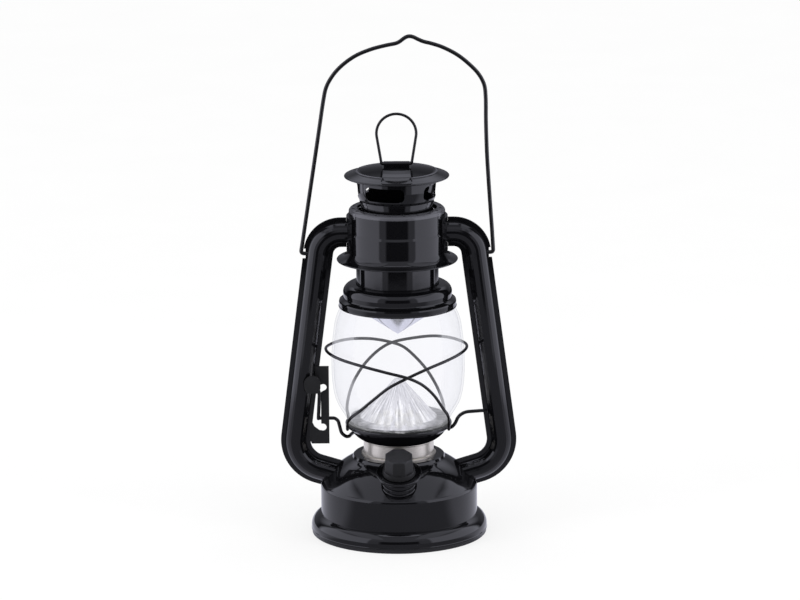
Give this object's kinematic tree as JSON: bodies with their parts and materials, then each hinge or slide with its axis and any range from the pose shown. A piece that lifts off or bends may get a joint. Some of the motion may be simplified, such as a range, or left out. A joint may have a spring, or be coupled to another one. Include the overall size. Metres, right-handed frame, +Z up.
{
  "type": "lantern",
  "caption": "battery camping lantern in hurricane-lamp form: round tank base with dimmer, clear glass globe in crossed guard wires, two side tubes, vented hood and wire bail",
  "frame": {"origin": "centre of the round foot on the ground plane", "axes": "+Z up along the lamp axis, -Y towards the dimmer knob, +X towards the side tube that carries the lift-wire pivot"},
  "size_m": [0.1538, 0.1158, 0.33],
  "materials": {
    "black_enamel": "gloss black baked enamel over pressed steel",
    "satin_black": "satin black paint on a stamped steel plate",
    "black_wire": "gloss black painted spring wire",
    "black_plastic": "fine textured black moulding",
    "knob_plastic": "dark grey satin moulding",
    "brushed_steel": "plain steel brushed round its circumference",
    "clear_glass": "clear blown glass, smooth",
    "clear_prism": "clear moulded acrylic with radial flutes",
    "mirror_metal": "bright metallised reflector",
    "led_epoxy": "water-clear epoxy over yellow phosphor",
    "circuit_board": "white solder mask",
    "lead_insulation": "soft insulated lead",
    "spring_steel": "plain spring steel",
    "zinc": "bright zinc plated",
    "brass": "plain turned brass",
    "cell_can": "printed dry-cell can without lettering"
  },
  "bodies": {
    "frame": {"tank_shell": "black_enamel", "tank_dome": "black_enamel", "bottom_cover": "black_plastic", "battery_tray": "black_plastic", "cover_screws": "zinc", "door_latch_screw": "zinc", "battery_cells": "cell_can", "contact_plates": "spring_steel", "contact_springs": "spring_steel", "centre_nipple": "brass", "nipple_nuts": "brass", "burner_collar": "brushed_steel", "control_neck": "black_enamel", "neck_flange": "black_enamel", "potentiometer": "zinc", "potentiometer_nut": "zinc", "left_tube_front": "black_enamel", "left_tube_rear": "black_enamel", "right_tube_front": "black_enamel", "right_tube_rear": "black_enamel", "left_tube_saddle": "black_enamel", "right_tube_saddle": "black_enamel", "crown_body": "black_enamel", "crown_top_ring": "black_enamel", "crown_guide_ring": "black_enamel", "lever_plate": "satin_black", "door_hinge_pin": "spring_steel", "hood_spring": "spring_steel"},
    "knob": {"dimmer_knob": "knob_plastic", "potentiometer_shaft": "zinc"},
    "battery_door": {"battery_door": "black_plastic"},
    "globe_carrier": {"globe_plate": "black_enamel", "globe": "clear_glass", "guard_wire_a": "black_wire", "guard_wire_b": "black_wire", "led_holder": "black_plastic", "guide_sleeve": "black_plastic", "led_board": "circuit_board", "led_leads": "lead_insulation", "leds": "led_epoxy", "led_reflector": "mirror_metal", "prism_cone": "clear_prism"},
    "lift_lever": {"lift_wire": "black_wire", "thumb_tab": "satin_black"},
    "hood": {"globe_cap": "black_enamel", "inner_chimney": "black_enamel", "cone_reflector": "mirror_metal", "vent_collar": "black_enamel", "hood_lid": "black_enamel", "ring_strap": "black_enamel"},
    "lift_ring": {"lift_ring": "black_wire"},
    "bail": {"bail": "black_wire"}
  },
  "joints": [
    {"name": "knob_turn", "type": "hinge", "parent": "frame", "child": "knob", "pos_m": [0, -0.0396, 0.0376], "axis": [0, -0.342, 0.9397], "range_deg": [-300, 0]},
    {"name": "door_hinge", "type": "hinge", "parent": "frame", "child": "battery_door", "pos_m": [0, 0.0392, 0.0037], "axis": [1, 0, 0], "range_deg": [0, 95]},
    {"name": "globe_lift", "type": "slide", "parent": "frame", "child": "globe_carrier", "axis": [0, 0, 1], "range_m": [0, 0.008]},
    {"name": "lever_swing", "type": "hinge", "parent": "frame", "child": "lift_lever", "pos_m": [0.057, 0, 0.08], "axis": [0, 1, 0], "range_deg": [0, 8.1]},
    {"name": "hood_slide", "type": "slide", "parent": "globe_carrier", "child": "hood", "axis": [0, 0, 1], "range_m": [0, 0.006], "deforming": ["hood_spring"]},
    {"name": "ring_swing", "type": "hinge", "parent": "hood", "child": "lift_ring", "pos_m": [0, 0, 0.2452], "axis": [1, 0, 0], "range_deg": [-90, 90]},
    {"name": "bail_swing", "type": "hinge", "parent": "frame", "child": "bail", "pos_m": [0, 0, 0.1865], "axis": [1, 0, 0], "range_deg": [-105, 105]}
  ],
  "couplings": [
    {"joint": "lever_swing", "follows": "globe_lift", "rad_per_m": 17.45}
  ]
}
